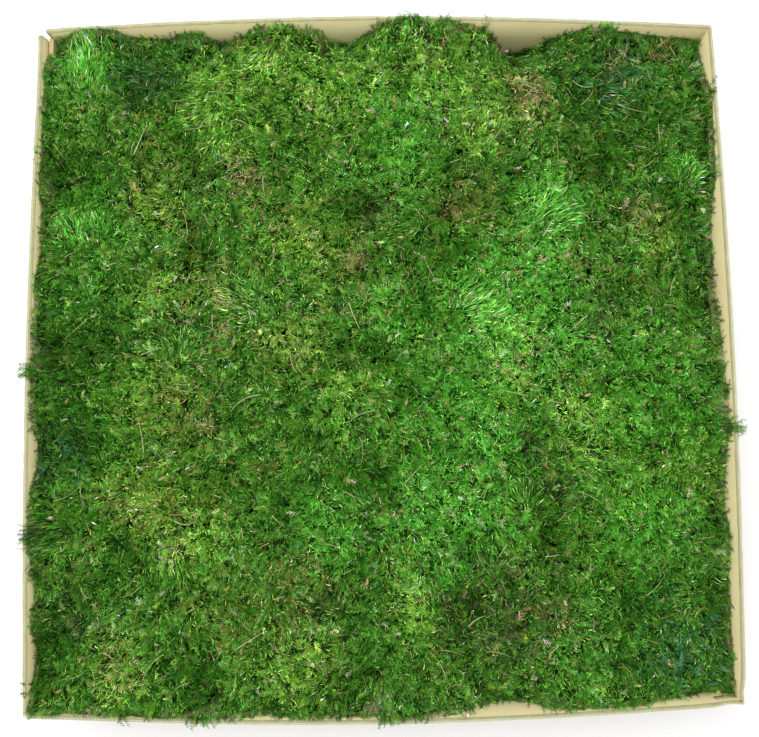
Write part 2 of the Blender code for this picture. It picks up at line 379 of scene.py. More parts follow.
def bulge(points, size):
    """Moves points of the straight-sided carton to where the bulging carton has them."""
    x, y, z = points.T
    rise = np.clip(z / size.height, 0, None) ** BULGE_POWER
    out_x = size.side_bulge * np.cos(np.pi * y / (2 * size.half_y)) * x / size.half_x
    out_y = size.end_bulge * np.cos(np.pi * x / (2 * size.half_x)) * y / size.half_y
    return np.stack([x + rise * out_x, y + rise * out_y, z], 1)


# --- numbers and noise


def unit(vectors):
    length = np.linalg.norm(vectors, axis=-1, keepdims=True)
    return vectors / np.maximum(length, 1e-12)


def between(grid, i, j, fu, fv):
    """A grid's value at a place part of the way through one of its cells."""
    low = grid[i, j] * (1 - fu) + grid[i + 1, j] * fu
    high = grid[i, j + 1] * (1 - fu) + grid[i + 1, j + 1] * fu
    return low * (1 - fv) + high * fv


class Field:
    """Smooth noise over the carton's floor, from -1 to 1."""

    def __init__(self, size, seed, reach=0.5):
        self.size, self.reach = size, reach
        count = int(2 * reach / size) + 3
        self.lattice = np.random.default_rng(seed).uniform(-1, 1, (count, count))

    def __call__(self, x, y):
        u = (np.asarray(x) + self.reach) / self.size
        v = (np.asarray(y) + self.reach) / self.size
        i, j = np.floor(u).astype(int), np.floor(v).astype(int)
        fu, fv = u - i, v - j
        fu, fv = fu * fu * (3 - 2 * fu), fv * fv * (3 - 2 * fv)
        return between(self.lattice, i, j, fu, fv)


WIDE_TONE = Field(0.110, 1)
SMALL_TONE = Field(0.035, 2)
FINE_TONE = Field(0.012, 3)
AGE = Field(0.050, 4)
FINE_AGE = Field(0.014, 5)
TURN = Field(0.070, 6)
RELIEF = Field(0.032, 8)
FINE_RELIEF = Field(0.013, 9)
WARP_X = Field(0.030, 10)
WARP_Y = Field(0.030, 11)


class Tufts:
    """Shoots grow in tufts: the nearest tuft's centre and its own random traits at each place."""

    def __init__(self, pitch, traits, seed, reach=0.5):
        self.pitch, self.reach = pitch, reach
        count = int(2 * reach / pitch) + 4
        rng = np.random.default_rng(seed)
        self.jitter = rng.uniform(0.05, 0.95, (count, count, 2))
        self.traits = rng.normal(0, 1, (count, count, traits))

    def __call__(self, x, y):
        place = (np.stack([x, y], 1) + self.reach) / self.pitch + 1
        cell = np.floor(place).astype(int)
        nearest = np.full(len(place), np.inf)
        offset = np.zeros_like(place)
        traits = np.zeros((len(place), self.traits.shape[2]))
        for step_x in (-1, 0, 1):
            for step_y in (-1, 0, 1):
                i, j = cell[:, 0] + step_x, cell[:, 1] + step_y
                away = place - np.stack([i, j], 1) - self.jitter[i, j]
                distance = (away**2).sum(1)
                closer = distance < nearest
                nearest[closer], offset[closer] = distance[closer], away[closer]
                traits[closer] = self.traits[i, j][closer]
        return offset, traits


TUFTS = Tufts(18 * MM, 5, 12)
SPRIGS = Tufts(7 * MM, 3, 13)


# --- meshes


def mesh_object(name, points, triangles, materials, colours=None, uv=None, slots=None):
    """A mesh object from arrays, with a colour for each point and a place on the bake map."""
    mesh = bpy.data.meshes.new(name)
    count = len(triangles)
    mesh.vertices.add(len(points))
    mesh.vertices.foreach_set("co", points.astype(np.float32).ravel())
    mesh.loops.add(3 * count)
    mesh.loops.foreach_set("vertex_index", triangles.astype(np.int32).ravel())
    mesh.polygons.add(count)
    mesh.polygons.foreach_set("loop_start", np.arange(0, 3 * count, 3, dtype=np.int32))
    mesh.polygons.foreach_set("loop_total", np.full(count, 3, np.int32))
    for material in materials:
        mesh.materials.append(material)
    if slots is not None:
        mesh.polygons.foreach_set("material_index", slots.astype(np.int32))
    if colours is not None:
        layer = mesh.color_attributes.new(COLOUR_LAYER, "FLOAT_COLOR", "POINT")
        rgba = np.ones((len(points), 4), np.float32)
        rgba[:, :3] = colours
        layer.data.foreach_set("color", rgba.ravel())
    if uv is not None:
        layer = mesh.uv_layers.new(name=BAKE_MAP)
        layer.uv.foreach_set("vector", uv[triangles.ravel()].astype(np.float32).ravel())
    mesh.update(calc_edges=True)
    mesh.validate()
    obj = bpy.data.objects.new(name, mesh)
    bpy.context.scene.collection.objects.link(obj)
    return obj


def joined(parts):
    """Several (points, triangles, colours) as one."""
    points = np.concatenate([part[0] for part in parts])
    starts = np.cumsum([0] + [len(part[0]) for part in parts[:-1]])
    triangles = np.concatenate([part[1] + start for part, start in zip(parts, starts)])
    colours = np.concatenate([part[2] for part in parts])
    return points, triangles, colours


def quads_to_triangles(quads):
    return np.concatenate([quads[:, [0, 1, 2]], quads[:, [0, 2, 3]]])


def grid_quads(rows, columns, start=0):
    """Quads of a grid of points stored row by row."""
    corner = start + np.arange(rows - 1)[:, None] * columns + np.arange(columns - 1)
    corner = corner.ravel()
    return np.stack([corner, corner + 1, corner + columns + 1, corner + columns], 1)


# --- materials


class Nodes:
    """Short words for building a node tree."""

    def __init__(self, name):
        self.material = bpy.data.materials.new(name)
        self.material.use_nodes = True
        self.tree = self.material.node_tree
        self.shader = self.tree.nodes["Principled BSDF"]

    def add(self, kind, values=(), **settings):
        node = self.tree.nodes.new("ShaderNode" + kind)
        for key, value in settings.items():
            setattr(node, key, value)
        for socket, value in values:
            self.put(node.inputs[socket], value)
        return node

    def put(self, socket, value):
        if isinstance(value, bpy.types.NodeSocket):
            self.tree.links.new(value, socket)
        else:
            socket.default_value = value

    def noise(self, vector, scale, detail=3.0, roughness=0.6):
        values = (("Vector", vector), ("Scale", scale), ("Detail", detail), ("Roughness", roughness))
        return self.add("TexNoise", values).outputs["Fac"]

    def maths(self, operation, a, b=0.5):
        return self.add("Math", ((0, a), (1, b)), operation=operation).outputs[0]

    def spread(self, value, low, high, to_low=0.0, to_high=1.0):
        values = ((0, value), (1, low), (2, high), (3, to_low), (4, to_high))
        return self.add("MapRange", values).outputs[0]

    def mix(self, factor, a, b, blend="MIX"):
        node = self.add("Mix", data_type="RGBA", blend_type=blend)
        for socket, value in ((0, factor), (6, a), (7, b)):
            self.put(node.inputs[socket], value)
        return node.outputs[2]

    def stretched(self, scale):
        place = self.add("TexCoord").outputs["Object"]
        return self.add("Mapping", (("Vector", place), ("Scale", scale))).outputs[0]

    def bump(self, height, strength, distance):
        values = (("Strength", strength), ("Distance", distance), ("Height", height))
        return self.add("Bump", values).outputs[0]

    def finish(self, colour, roughness, normal=None, **constants):
        self.put(self.shader.inputs["Base Color"], colour)
        self.put(self.shader.inputs["Roughness"], roughness)
        if normal is not None:
            self.put(self.shader.inputs["Normal"], normal)
        for socket, value in constants.items():
            self.shader.inputs[socket.replace("_", " ")].default_value = value
        return self.material


def growth_material(name, roughness):
    """Moss and stalks: the colour each shoot was given, mottled along its length."""
    n = Nodes(name)
    own = n.add("VertexColor", layer_name=COLOUR_LAYER).outputs["Color"]
    place = n.add("TexCoord").outputs["Object"]
    fleck = n.noise(place, 900.0, 2.0)
    lift = n.spread(fleck, 0.3, 0.7, 0.78, 1.22)
    grey = n.add("CombineColor", (("Red", lift), ("Green", lift), ("Blue", lift))).outputs[0]
    colour = n.mix(1.0, own, grey, "MULTIPLY")
    rough = n.spread(n.noise(place, 250.0), 0.3, 0.7, roughness - 0.1, roughness + 0.1)
    return n.finish(colour, rough, Specular_IOR_Level=0.09)


def felt_material():
    """The dark felt of old stems under the shoots, darkened further as painted shade, most in its
    hollows.
    """
    n = Nodes("moss_felt")
    place = n.add("TexCoord").outputs["Object"]
    fibre = n.noise(n.stretched((1.0, 1.0, 2.5)), 320.0, 4.0, 0.7)
    patch = n.noise(place, 30.0, 3.0)
    dark = n.mix(n.spread(patch, 0.35, 0.65), *FELT_DARK)
    light = n.mix(n.spread(patch, 0.35, 0.65), *FELT_LIGHT)
    # Painted shade: the felt is darker where its fibre bump is low.
    colour = n.mix(n.spread(fibre, 0.42, 0.66), dark, light)
    return n.finish(colour, 0.92, n.bump(fibre, 0.9, 1.5 * MM), Specular_IOR_Level=0.05)


def board_material(name, face, shade, washboard):
    """Kraft board: short fibres, faint stains and the flutes that print through the liner."""
    n = Nodes(name)
    place = n.add("TexCoord").outputs["Object"]
    fibre = n.noise(n.stretched((1.0, 1.0, 3.5)), 700.0, 3.0, 0.7)
    stain = n.noise(place, 14.0, 4.0)
    along = n.add("SeparateXYZ", (("Vector", place),)).outputs
    ridge_x = n.maths("SINE", n.maths("MULTIPLY", along[0], math.tau / LARGE_FLUTE.pitch), 0.0)
    ridge_y = n.maths("SINE", n.maths("MULTIPLY", along[1], math.tau / LARGE_FLUTE.pitch), 0.0)
    ridge = n.maths("MULTIPLY", n.maths("ADD", ridge_x, ridge_y), washboard)
    tone = n.mix(n.spread(stain, 0.3, 0.7), face, shade)
    tone = n.mix(n.spread(fibre, 0.55, 0.80, 0.0, 0.30), tone, BOARD_FIBRE)
    tone = n.mix(n.spread(ridge, -0.5, 0.5, 0.0, 0.05), tone, BOARD_RIDGE)
    height = n.maths("ADD", ridge, n.maths("MULTIPLY", fibre, 0.35))
    rough = n.spread(stain, 0.3, 0.7, 0.72, 0.88)
    return n.finish(tone, rough, n.bump(height, 0.25, 0.3 * MM))


def cut_edge_material(name, light, dull):
    """The furry cut edge of the board."""
    n = Nodes(name)
    place = n.add("TexCoord").outputs["Object"]
    fuzz = n.noise(place, 1500.0, 2.0)
    wide = n.noise(place, 60.0, 3.0)
    colour = n.mix(n.spread(wide, 0.3, 0.7), light, dull)
    colour = n.mix(n.spread(fuzz, 0.5, 0.8, 0.0, 0.45), colour, EDGE_FUZZ)
    return n.finish(colour, 0.9, n.bump(fuzz, 0.5, 0.3 * MM))


# --- carton


def wall_end(corner, radius=0.0, turn=0.0, short=0.0):
    """One end of a wall: the corner's distance from its middle, and how far the board folds there."""
    return SimpleNamespace(corner=corner, radius=radius, turn=turn, short=short)


def even_run(_, stops, steps):
    """Even steps from end to end, folds and all."""
    return np.linspace(-stops[0], stops[1], steps + 1)


def fold_run(starts, stops, steps):
    """Even steps along the flat part, and a few short ones round each fold."""
    starts = [min(start, stop - MM) for start, stop in zip(starts, stops)]
    first = np.linspace(-stops[0], -starts[0], FOLD_STEPS, endpoint=False)
    flat = np.linspace(-starts[0], starts[1], steps + 1 - 2 * FOLD_STEPS)
    return np.concatenate([first, flat, np.linspace(starts[1], stops[1], FOLD_STEPS + 1)[1:]])


def layer_plan(ends, depth, steps, run_of=fold_run):
    """Places (along, depth) on one layer of a wall, from end to end, round its folds."""
    reach, radius, stop = [], [], []
    for end in ends:
        reach.append(end.corner - (max(end.radius, depth) if end.turn else 0.0))
        radius.append(max(end.radius - depth, 0.0))
        stop.append(reach[-1] + radius[-1] * end.turn - end.short)
    run = run_of(reach, stop, steps)
    side = (run > 0).astype(int)
    reach, radius = np.array(reach)[side], np.array(radius)[side]
    over = np.maximum(np.abs(run) - reach, 0.0)
    angle = over / np.maximum(radius, 1e-9)
    curve = np.where(radius > 0, radius * np.sin(angle), over)
    along = np.sign(run) * (np.minimum(np.abs(run), reach) + curve)
    return along, depth + radius * (1 - np.cos(angle))


def sheet_quads(rows, steps):
    """Quads of a sheet's outer side, inner side and top edge. Its points run side by side, row by row."""
    columns = steps + 1
    side_size = (rows + 1) * columns
    outer = grid_quads(rows + 1, columns)
    rim = rows * columns + np.arange(steps)
    rim = np.stack([rim, rim + 1, rim + 1 + side_size, rim + side_size], 1)
    return outer, outer[:, ::-1] + side_size, rim


def slab(ends, depth, thickness, rows, low, high, ragged, rng):
    """A sheet between two depths: points as (along, depth, up), triangles and which side each is on."""
    steps = LINER_STEPS
    levels = np.linspace(low, high, rows + 1)
    nick = rng.normal(0, 1, steps + 1) * ragged
    points = []
    for along, at in (layer_plan(ends, side, steps) for side in (depth, depth + thickness)):
        for k, level in enumerate(levels):
            up = np.full(steps + 1, level) + (nick if k == rows else 0.0)
            points.append(np.stack([along, at, up], 1))
    columns, side_size = steps + 1, (rows + 1) * (steps + 1)
    outer, inner, rim = sheet_quads(rows, steps)
    first = np.arange(steps)
    base = np.stack([first + 1, first, first + side_size, first + 1 + side_size], 1)
    row = np.arange(rows) * columns
    starts = np.stack([row, row + columns, row + columns + side_size, row + side_size], 1)
    stops = (starts + steps)[:, ::-1]
    quads = np.concatenate([outer, inner, rim, base, starts, stops])
    side = np.full(len(quads), CUT_SIDE)
    side[: len(outer)] = OUT_SIDE
    side[len(outer) : len(outer) + len(inner)] = IN_SIDE
    return np.concatenate(points), quads_to_triangles(quads), np.tile(side, 2)


def medium(ends, depth, flute, low, high, rng):
    """A fluted sheet that runs between two liners."""
    periods = int((ends[0].corner + ends[1].corner) / flute.pitch)
    steps = periods * flute.corners
    phase = math.tau * np.arange(steps + 1) / flute.corners
    wave = np.clip(FLUTE_SQUARENESS * np.sin(phase + math.pi / flute.corners), -1, 1)
    room = (flute.height - MEDIUM) / 2
    along, fold = layer_plan(ends, depth + flute.height / 2, steps, even_run)
    middle = fold + room * wave
    nick = rng.normal(0, 1, steps + 1) * RIM_RAGGED
    points = []
    for at in (middle - MEDIUM / 2, middle + MEDIUM / 2):
        points.append(np.stack([along, at, np.full(steps + 1, low)], 1))
        points.append(np.stack([along, at, high + nick], 1))
    quads = np.concatenate(sheet_quads(1, steps))
    side = np.full(len(quads), CUT_SIDE)
    return np.concatenate(points), quads_to_triangles(quads), np.tile(side, 2)


def dented(points, node):
    """A wall with its crushed folds pushed in and creased."""
    moved = points.copy()
    for wall, place, reach, push in DENTS:
        if wall == node:
            away = np.linalg.norm(points - np.array(place), axis=1) / reach
            crease = 1 + DENT_CREASE_DEPTH * np.sin(points[:, 2] * DENT_CREASES)
            moved += (np.exp(-(away**2)) * crease)[:, None] * np.array(push)
    return moved


def flared(points, size):
    """The left wall, free of the glue tab at its back end: it leans out and is torn back at the rim."""
    from_end = size.half_y - points[:, 1]
    lean = FLARE * np.exp(-from_end / FLARE_REACH) * (points[:, 2] / size.height) ** 2
    torn = np.clip((points[:, 2] - size.height) / TEAR_DEPTH + 1, 0, 1)
    torn = torn * np.clip(1 - from_end / TEAR_REACH, 0, 1)
    return points - np.stack([lean, OPEN_CORNER * torn, 0 * lean], 1)


def board_layers(ends, size, rng):
    """The layers of double-wall board from outside in, each with its out, in and cut materials."""
    rim, shelf = size.height, size.height - FLUTE_DEPTH
    small = LINER + SMALL_FLUTE.height
    large = small + LINER
    last = size.board - LINER
    # The dull cut edges are painted shade: on the block in the small flute's hollows, and partly on the
    # inner liner's top edge.
    inside, outside, pale, dull, tan = range(5)

    def liner(depth, rows, low):
        return slab(ends, depth, LINER, rows, low, rim, RIM_RAGGED, rng)

    def fill(depth, flute):
        return slab(ends, depth, flute.height, 1, shelf, rim - flute.fill, 0, rng)

    return (
        (liner(0.0, LINER_ROWS, 0.0), (outside, inside, pale)),
        (medium(ends, LINER, SMALL_FLUTE, shelf, rim, rng), (pale, pale, pale)),
        (fill(LINER, SMALL_FLUTE), (inside, inside, dull)),
        (liner(small, 1, shelf), (inside, inside, pale)),
        (medium(ends, large, LARGE_FLUTE, shelf, rim, rng), (tan, tan, tan)),
        (fill(large, LARGE_FLUTE), (inside, inside, tan)),
        (liner(last, LINER_ROWS, 0.0), (inside, inside, dull)),
    )


def board_wall(node, size, ends, materials, seed):
    """One wall of double-wall board, flutes and all, in place of its CAD panel."""
    rng = np.random.default_rng(seed)
    along_x = node in ("back_wall", "front_wall")
    outer = size.half_y if along_x else size.half_x
    sign = 1 if node in ("back_wall", "right_wall") else -1
    layers = board_layers(ends, size, rng)
    parts = [(part[0], part[1], np.array(looks)[part[2]]) for part, looks in layers]
    points, triangles, slots = joined(parts)
    along, depth, up = points.T
    out = (outer - depth) * sign
    flat = np.stack([along, out, up] if along_x else [out, along, up], 1)
    if along_x == (sign > 0):
        triangles = triangles[:, ::-1]
    shape = dented(bulge(flat, size), node)
    if node == "left_wall":
        shape = flared(shape, size)
    obj = mesh_object(node + "_board", shape, triangles, materials, slots=slots)
    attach(obj, "root")
    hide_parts(node)


def build_carton(size):
    face, outside, inside = [board_material(*look) for look in BOARD_LOOKS]
    edges = [cut_edge_material(*look) for look in EDGE_LOOKS]
    side, end = size.half_y, size.half_x
    mitre = dict(radius=FOLD_RADIUS, turn=math.pi / 4)
    tab_fold = wall_end(end - size.board - size.gap, TAB_FOLD_RADIUS, math.pi / 2)
    ends = {
        "back_wall": (tab_fold, wall_end(end, **mitre)),
        "right_wall": (wall_end(side, **mitre), wall_end(side, **mitre)),
        "front_wall": (wall_end(end, short=SPLIT_FOLD, **mitre), wall_end(end, **mitre)),
        "left_wall": (wall_end(side, short=SPLIT_FOLD, **mitre), wall_end(side - size.board)),
    }
    for seed, (node, wall_ends) in enumerate(ends.items()):
        board_wall(node, size, wall_ends, (face, outside, *edges), seed)
    looks = {"glue_tab": inside, "bottom_flap_left": inside, "bottom_flap_right": inside}
    looks.update(bottom_flap_front=outside, bottom_flap_back=outside)
    for node, material in looks.items():
        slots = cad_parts[node].data.materials
        slots.clear()
        slots.append(material)


# --- moss


def mesh_arrays(obj):
    """Points, triangles and point normals of an object with its modifiers applied."""
    evaluated = obj.evaluated_get(bpy.context.evaluated_depsgraph_get())
    mesh = evaluated.to_mesh()
    mesh.calc_loop_triangles()
    points = np.empty(3 * len(mesh.vertices), np.float32)
    mesh.vertices.foreach_get("co", points)
    triangles = np.empty(3 * len(mesh.loop_triangles), np.int32)
    mesh.loop_triangles.foreach_get("vertices", triangles)
    normals = np.empty(3 * len(mesh.vertices), np.float32)
    mesh.vertices.foreach_get("normal", normals)
    evaluated.to_mesh_clear()
    return points.reshape(-1, 3).astype(float), triangles.reshape(-1, 3), normals.reshape(-1, 3)


def spread_extreme(heights, reach, choose):
    """The highest or lowest value within a disc round each cell of a grid."""
    found = heights.copy()
    padded = np.pad(heights, reach, mode="edge")
    rows, columns = heights.shape
    for i in range(-reach, reach + 1):
        for j in range(-reach, reach + 1):
            if i * i + j * j <= reach * reach:
                part = padded[reach + i : reach + i + rows, reach + j : reach + j + columns]
                found = choose(found, part)
    return found


def valleys_filled(heights, reach):
    """The heights with every valley narrower than twice the reach filled."""
    rim = 2 * reach
    padded = np.pad(heights, rim, mode="edge")
    filled = spread_extreme(spread_extreme(padded, reach, np.maximum), reach, np.minimum)
    return filled[rim:-rim, rim:-rim]


class MossSurface:
    """The height of the shoot tips: the CAD mats' tops, with the seams between them grown over.

    It also knows which mat each place belongs to.
    """

    def __init__(self, size):
        self.low = np.array([-size.half_x, -size.half_y])
        counts = np.ceil(-2 * self.low / SURFACE_STEP).astype(int) + 1
        heights, nearest = np.zeros(counts), np.full(counts, np.inf)
        self.owner = np.zeros(counts, int)
        for number, mat in enumerate(MAT_GROWTH):
            self.read_mat(number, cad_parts[mat], heights, nearest)
        self.heights = self.grown_over(heights, size)

    def read_mat(self, number, mat, heights, nearest):
        """Takes one mat's heights wherever no earlier mat is as near."""
        points, triangles, _ = mesh_arrays(mat)
        tree = BVHTree.FromPolygons(points.tolist(), triangles.tolist())
        level = points[:, 2].max()
        low = np.floor((points.min(0)[:2] - self.low) / SURFACE_STEP).astype(int) - SEAM_REACH
        high = np.ceil((points.max(0)[:2] - self.low) / SURFACE_STEP).astype(int) + SEAM_REACH
        low, high = np.maximum(low, 0), np.minimum(high, np.array(heights.shape) - 1)
        for i in range(low[0], high[0] + 1):
            for j in range(low[1], high[1] + 1):
                x, y = self.low + SURFACE_STEP * np.array([i, j])
                hit = tree.ray_cast(Vector((x, y, 1.0)), DOWN)[0]
                away = 0.0
                if hit is None:
                    hit, _, _, away = tree.find_nearest(Vector((x, y, level)))
                if away < nearest[i, j]:
                    nearest[i, j], self.owner[i, j], heights[i, j] = away, number, hit.z

    def grown_over(self, heights, size):
        """The tips' heights: seams closed, raised beside the walls, dipped at one corner, smoothed."""
        core = heights[WALL_CELLS:-WALL_CELLS, WALL_CELLS:-WALL_CELLS]
        heights = np.pad(core, WALL_CELLS, mode="edge")
        x, y = (low + SURFACE_STEP * np.arange(count) for low, count in zip(self.low, heights.shape))
        x, y = x[:, None], y[None, :]
        to_wall = np.minimum(size.half_x - np.abs(x), size.half_y - np.abs(y)) - size.board
        inner = np.interp(to_wall, WALL_BAND, (0.0, 1.0))
        tips = inner * valleys_filled(heights, SEAM_REACH)
        tips = tips + (1 - inner) * valleys_filled(heights, WALL_SEAM_REACH)
        lift = np.interp(to_wall, SHOULDER_REACHES, SHOULDER_LIFTS)
        tips = tips + lift * np.interp(tips, size.height - np.array(DIP_DEPTHS), DIP_SHARES)
        away = np.hypot(x - CORNER_DIP_PLACE[0], y - CORNER_DIP_PLACE[1])
        tips = tips - CORNER_DIP * np.exp(-((away / CORNER_DIP_REACH) ** 2))
        padded = np.pad(tips, 1, mode="edge")
        rows, columns = tips.shape
        return sum(padded[i : i + rows, j : j + columns] for i in range(3) for j in range(3)) / 9

    def places_of(self, number, density, size, rng):
        """Random places over the part of the carton that one mat grows over."""
        room = np.array([size.half_x - size.board, size.half_y - size.board])
        room += BULGE_FILLED * np.array([size.side_bulge, size.end_bulge])
        count = int(4 * room.prod() * density)
        place = rng.uniform(-room, room, (count, 2))
        warp = SEAM_WARP * np.stack([WARP_X(*place.T), WARP_Y(*place.T)], 1)
        cell = np.round((place + warp - self.low) / SURFACE_STEP).astype(int)
        cell = np.clip(cell, 0, np.array(self.owner.shape) - 1)
        mine = self.owner[cell[:, 0], cell[:, 1]] == number
        return place[mine].T

    def __call__(self, x, y):
        place = (np.stack([x, y], 1) - self.low) / SURFACE_STEP
        place = np.clip(place, 0, np.array(self.heights.shape) - 1.001)
        i, j = np.floor(place).astype(int).T
        fu, fv = place[:, 0] - i, place[:, 1] - j
        lumps = RELIEF_HEIGHT * (RELIEF(x, y) + 0.5 * FINE_RELIEF(x, y) - 0.4)
        return between(self.heights, i, j, fu, fv) + lumps - HOLLOW_DEPTH * patch_weight("dark", x, y)


def patch_weight(kind, x, y):
    """How strongly one kind of patch holds at each place, from 0 to 1, with ragged borders."""
    x = x + PATCH_WARP * WARP_X(x, y) + PATCH_FRAY * FINE_AGE(x, y)
    y = y + PATCH_WARP * WARP_Y(x, y) + PATCH_FRAY * FINE_TONE(x, y)
    weight = np.zeros(np.shape(x))
    for centre_x, centre_y, radius in PATCHES[kind]:
        away = ((x * 100 - centre_x) ** 2 + (y * 100 - centre_y) ** 2) / radius**2
        weight = np.maximum(weight, np.exp(-PATCH_FALL * away**1.5))
    return weight


def felt_of(node, surface):
    """The mat's body: its CAD solid remeshed, with a lumpy top that lies below the shoot tips."""
    source = bpy.data.objects.new("felt_source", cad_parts[node].data.copy())
    bpy.context.scene.collection.objects.link(source)
    remesh = source.modifiers.new("even", "REMESH")
    remesh.mode = "VOXEL"
    remesh.voxel_size = FELT_VOXEL
    points, triangles, normals = mesh_arrays(source)
    mesh = source.data
    bpy.data.objects.remove(source)
    bpy.data.meshes.remove(mesh)
    low = points[:, 2].min()
    upper = np.clip((points[:, 2] - low) / FELT_BASE, 0, 1)
    facing = np.clip(normals[:, 2], 0, 1)
    x, y = points[:, 0], points[:, 1]
    sunk = points - normals * (FELT_SINK * upper)[:, None]
    depth = FELT_DEPTH + FELT_LUMPS * RELIEF(x, y)
    top = upper * np.clip((facing - 0.1) / 0.4, 0, 1)
    sunk[:, 2] += top * (surface(x, y) - depth - sunk[:, 2])
    return sunk, triangles


def beside_wall(x, y):
    """1 at the walls, fading inwards."""
    inwards = np.clip(INNER_HALF - np.maximum(np.abs(x), np.abs(y)), 0, None)
    return np.exp(-inwards / WALL_SHADE_REACH)


def colours_of_shoots(x, y, rng):
    """A colour for each shoot: two greens, patches of growth and age, painted shade in hollows and beside
    the walls, and single odd shoots, the pale ones partly painted highlights.
    """
    count = len(x)
    colours = np.tile(GREENS["leaf"], (count, 1))
    tuft, sprig = TUFTS(x, y)[1], SPRIGS(x, y)[1]
    deep = 0.34 + 0.30 * WIDE_TONE(x, y) + 0.12 * tuft[:, 0]
    colours[rng.random(count) < deep] = GREENS["deep"]
    colours[rng.random(count) < 0.10 + 0.08 * tuft[:, 1]] = GREENS["bright"]
    colours[rng.random(count) < 0.07 + 0.06 * tuft[:, 2]] = GREENS["lime"]
    age = 0.55 * AGE(x, y) + 0.45 * FINE_AGE(x, y) + 0.12 * sprig[:, 0]
    colours[rng.random(count) < 0.04 + 0.6 * np.clip(age - 0.12, 0, 1)] = GREENS["olive"]
    light = 0.11 * WIDE_TONE(x, y) + 0.14 * SMALL_TONE(x, y) + 0.08 * FINE_TONE(x, y)
    light += 0.09 * tuft[:, 3] + 0.09 * sprig[:, 1] + rng.normal(0, 0.39, count)
    for kind, strength in PATCH_STRENGTH.items():
        weight = patch_weight(kind, x, y)
        colours[rng.random(count) < strength * weight] = GREENS[kind]
        light += PATCH_LIGHT[kind] * weight
    near = beside_wall(x, y)
    colours[rng.random(count) < WALL_BROWN * near] = GREENS["brown"]
    # Painted shade: darker in the dark hollows and beside the walls.
    light += DARK_LIGHT * patch_weight("dark", x, y) + WALL_LIGHT * near
    colours[rng.random(count) < 0.012 + 0.5 * np.clip(age - 0.42, 0, 1)] = GREENS["rust"]
    # Pale shoots, partly painted highlights on the moss.
    colours[rng.random(count) < 0.04] = GREENS["pale"]
    colours[rng.random(count) < 0.012] = GREENS["straw"]
    hue = rng.normal(0, 0.07, count)
    return shaded(colours, np.exp(light)) * np.stack([1 + hue, np.ones(count), 1 - hue], 1)


def shaded(colours, light):
    """Darker moss is also a purer green, because the light has passed through more leaves."""
    return colours * np.asarray(light)[..., None] ** np.array(SHADE_POWERS)


def leans(x, y, growth, rng, scatter):
    """The level direction of each shoot: its mat's growth, its tuft's and sprig's, and chance."""
    tuft_place, tuft = TUFTS(x, y)
    sprig = SPRIGS(x, y)[1]
    turn = math.radians(growth) + 1.5 * TURN(x, y) + 0.9 * tuft[:, 0] + 0.6 * sprig[:, 2]
    flow = np.stack([np.cos(turn), np.sin(turn)], 1)
    return unit(0.7 * flow + 1.0 * tuft_place + rng.normal(0, scatter, (len(x), 2)))


def fan_pull(x, y):
    """How strongly a fan of long shoots holds at each place, and the way it points there."""
    weight, way = np.zeros(len(x)), np.zeros((len(x), 2))
    for centre_x, centre_y, radius, heading in FANS:
        offset = np.stack([x * 100 - centre_x, y * 100 - centre_y], 1) / radius
        own = np.exp(-(offset**2).sum(1) ** 1.5)
        turn = math.radians(heading)
        own_way = np.array([math.cos(turn), math.sin(turn)]) + 0.55 * offset
        stronger = own > weight
        weight[stronger], way[stronger] = own[stronger], own_way[stronger]
    return weight, unit(way)


def soft_top(points, size):
    """Presses down what stands far over the rim."""
    over = np.maximum(points[:, 2] - size.height, 0)
    pressed = np.minimum(points[:, 2], size.height) + TOP_ROOM * np.tanh(over / TOP_ROOM)
    return np.stack([points[:, 0], points[:, 1], pressed], 1)


def side_reach(y, size, rise=1.0):
    """How far from the middle the side walls' outer faces are at y."""
    return size.half_x + rise * size.side_bulge * np.cos(np.pi * y / (2 * size.half_y))


def end_reach(x, size, rise=1.0):
    """How far from the middle the back and front walls' outer faces are at x."""
    return size.half_y + rise * size.end_bulge * np.cos(np.pi * x / (2 * size.half_x))


def wall_rooms(points, size):
    """How far from the middle the moss may reach, along x and y, at each point's height."""
    x, y, z = points.T
    rise = np.clip(z / size.height, 0, 1) ** BULGE_POWER
    return np.stack([side_reach(y, size, rise), end_reach(x, size, rise)], 1) - size.board - WALL_ROOM


def keep_inside(points, size):
    """Holds back what would go through the walls, or stand far over the rim."""
    points = points.reshape(-1, 3)
    rooms = wall_rooms(points, size)
    return soft_top(np.column_stack([np.clip(points[:, :2], -rooms, rooms), points[:, 2]]), size)


def pressed_to_walls(points, size):
    """The felt beside a wall leans against it."""
    flat = points[:, :2]
    gap = wall_rooms(points, size) - np.abs(flat)
    pull = gap * np.clip(2 - 2 * gap / WALL_PRESS, 0, 1)
    return np.column_stack([flat + np.sign(flat) * pull, points[:, 2]])


def shoot_ends(x, y, lean, level_length, depth, surface, rng):
    """Root and tip of each shoot: the root below the moss surface, the tip just about at it."""
    tip_x, tip_y = x + lean[:, 0] * level_length, y + lean[:, 1] * level_length
    root_z = surface(x, y) - depth
    tip_z = surface(tip_x, tip_y) + rng.normal(TIP_OFF[0] * MM, TIP_OFF[1] * MM, len(x))
    return np.stack([x, y, root_z], 1), np.stack([tip_x, tip_y, tip_z], 1)


def across_of(way, roll, rng):
    """A direction across each shoot, near level so that its face looks up, then rolled a little."""
    across = unit(np.cross(way, (0.0, 0.0, 1.0)) + 1e-6)
    angle = rng.normal(0, roll, len(way))[:, None]
    return across * np.cos(angle) + np.cross(across, way) * np.sin(angle)


